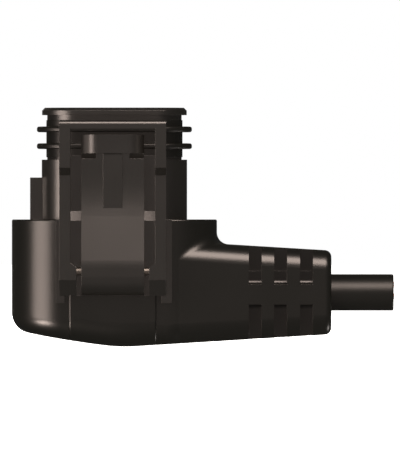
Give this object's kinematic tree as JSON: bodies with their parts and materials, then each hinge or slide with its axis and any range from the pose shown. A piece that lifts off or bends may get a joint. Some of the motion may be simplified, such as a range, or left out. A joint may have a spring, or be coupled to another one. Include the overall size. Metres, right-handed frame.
{
  "type": "angled power cord connector",
  "caption": "Right-angle moulded cord connector: sealed oblong barrel with contacts, sprung latch lever in a guard frame, tapered arm with strain-relief windows and a cut round cable",
  "frame": {"origin": "on the barrel's axis, at the mating face that its lip ends in", "axes": "+Z out of the mating face, +X towards the cable's exit, -Y towards the latch lever"},
  "size_m": [0.0746, 0.028, 0.0466],
  "materials": {
    "housing": "satin",
    "overmould": "satin",
    "seal": "satin",
    "insert": "satin",
    "contact": "plated",
    "copper": "drawn",
    "core_brown": "semi-gloss",
    "core_blue": "semi-gloss",
    "core_green_yellow": "semi-gloss",
    "sheath": "satin",
    "inner": "satin",
    "pin": "ground",
    "spring": "drawn"
  },
  "bodies": {
    "connector": {"barrel_housing": "housing", "seal_sleeve": "seal", "contact_insert": "insert", "contact_line": "contact", "contact_neutral": "contact", "contact_earth": "contact", "conductor_line": "copper", "conductor_neutral": "copper", "conductor_earth": "copper", "core_line": "core_brown", "core_neutral": "core_blue", "core_earth": "core_green_yellow", "cable_sheath": "sheath", "inner_moulding": "inner", "overmould": "overmould", "hinge_pin": "pin", "return_spring": "spring"},
    "lever": {"latch_lever": "housing"}
  },
  "joints": [
    {"name": "latch_release", "type": "hinge", "parent": "connector", "child": "lever", "pos_m": [-0.00025, -0.0118, -0.03195], "axis": [1, 0, 0], "range_deg": [0, 8], "stiffness_Nm_per_rad": 0.08}
  ]
}
